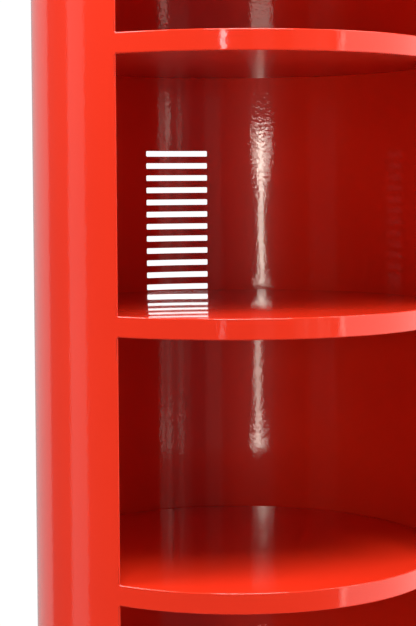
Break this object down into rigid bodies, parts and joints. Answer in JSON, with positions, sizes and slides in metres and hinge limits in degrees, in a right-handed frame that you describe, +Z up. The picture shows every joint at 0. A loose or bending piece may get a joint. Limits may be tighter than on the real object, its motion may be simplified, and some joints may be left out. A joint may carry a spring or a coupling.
{
  "type": "round open filing cabinet",
  "caption": "Tall cylindrical open-fronted filing cabinet in glossy red painted sheet steel, with round double-skinned shelves, a ladder of air slots in the rear wall and levelling feet.",
  "frame": {"origin": "on the floor, under the axis of the cylinder", "axes": "+Z up along the cylinder's axis, open front towards -Y, slotted rear wall towards +Y, +X to the right when facing the back from the front"},
  "size_m": [0.6, 0.6, 1.95],
  "materials": {
    "gloss_red_paint": "high-gloss sprayed enamel with faint orange peel",
    "zinc_plate": "dull bright zinc plating",
    "black_rubber": "matt black"
  },
  "bodies": {
    "cabinet": {"rear_panel": "gloss_red_paint", "left_side_panel": "gloss_red_paint", "right_side_panel": "gloss_red_paint", "floor_deck": "gloss_red_paint", "floor_underside": "gloss_red_paint", "floor_stiffener": "gloss_red_paint", "floor_front_band": "gloss_red_paint", "shelf_1_deck": "gloss_red_paint", "shelf_1_underside": "gloss_red_paint", "shelf_1_stiffener": "gloss_red_paint", "shelf_1_front_band": "gloss_red_paint", "shelf_2_deck": "gloss_red_paint", "shelf_2_underside": "gloss_red_paint", "shelf_2_stiffener": "gloss_red_paint", "shelf_2_front_band": "gloss_red_paint", "shelf_3_deck": "gloss_red_paint", "shelf_3_underside": "gloss_red_paint", "shelf_3_stiffener": "gloss_red_paint", "shelf_3_front_band": "gloss_red_paint", "shelf_4_deck": "gloss_red_paint", "shelf_4_underside": "gloss_red_paint", "shelf_4_stiffener": "gloss_red_paint", "shelf_4_front_band": "gloss_red_paint", "top_deck": "gloss_red_paint", "top_underside": "gloss_red_paint", "top_stiffener": "gloss_red_paint", "top_front_band": "gloss_red_paint", "base_channel_left": "gloss_red_paint", "base_channel_right": "gloss_red_paint", "weld_nut_front_left": "zinc_plate", "weld_nut_front_right": "zinc_plate", "weld_nut_rear_left": "zinc_plate", "weld_nut_rear_right": "zinc_plate", "lock_nut_front_left": "zinc_plate", "lock_nut_front_right": "zinc_plate", "lock_nut_rear_left": "zinc_plate", "lock_nut_rear_right": "zinc_plate"},
    "foot_front_left": {"foot_stud_front_left": "zinc_plate", "foot_pad_front_left": "black_rubber"},
    "foot_front_right": {"foot_stud_front_right": "zinc_plate", "foot_pad_front_right": "black_rubber"},
    "foot_rear_left": {"foot_stud_rear_left": "zinc_plate", "foot_pad_rear_left": "black_rubber"},
    "foot_rear_right": {"foot_stud_rear_right": "zinc_plate", "foot_pad_rear_right": "black_rubber"}
  },
  "joints": [
    {"name": "foot_front_left_screw", "type": "slide", "parent": "cabinet", "child": "foot_front_left", "axis": [0, 0, -1], "range_m": [0, 0.015]},
    {"name": "foot_front_right_screw", "type": "slide", "parent": "cabinet", "child": "foot_front_right", "axis": [0, 0, -1], "range_m": [0, 0.015]},
    {"name": "foot_rear_left_screw", "type": "slide", "parent": "cabinet", "child": "foot_rear_left", "axis": [0, 0, -1], "range_m": [0, 0.015]},
    {"name": "foot_rear_right_screw", "type": "slide", "parent": "cabinet", "child": "foot_rear_right", "axis": [0, 0, -1], "range_m": [0, 0.015]}
  ]
}
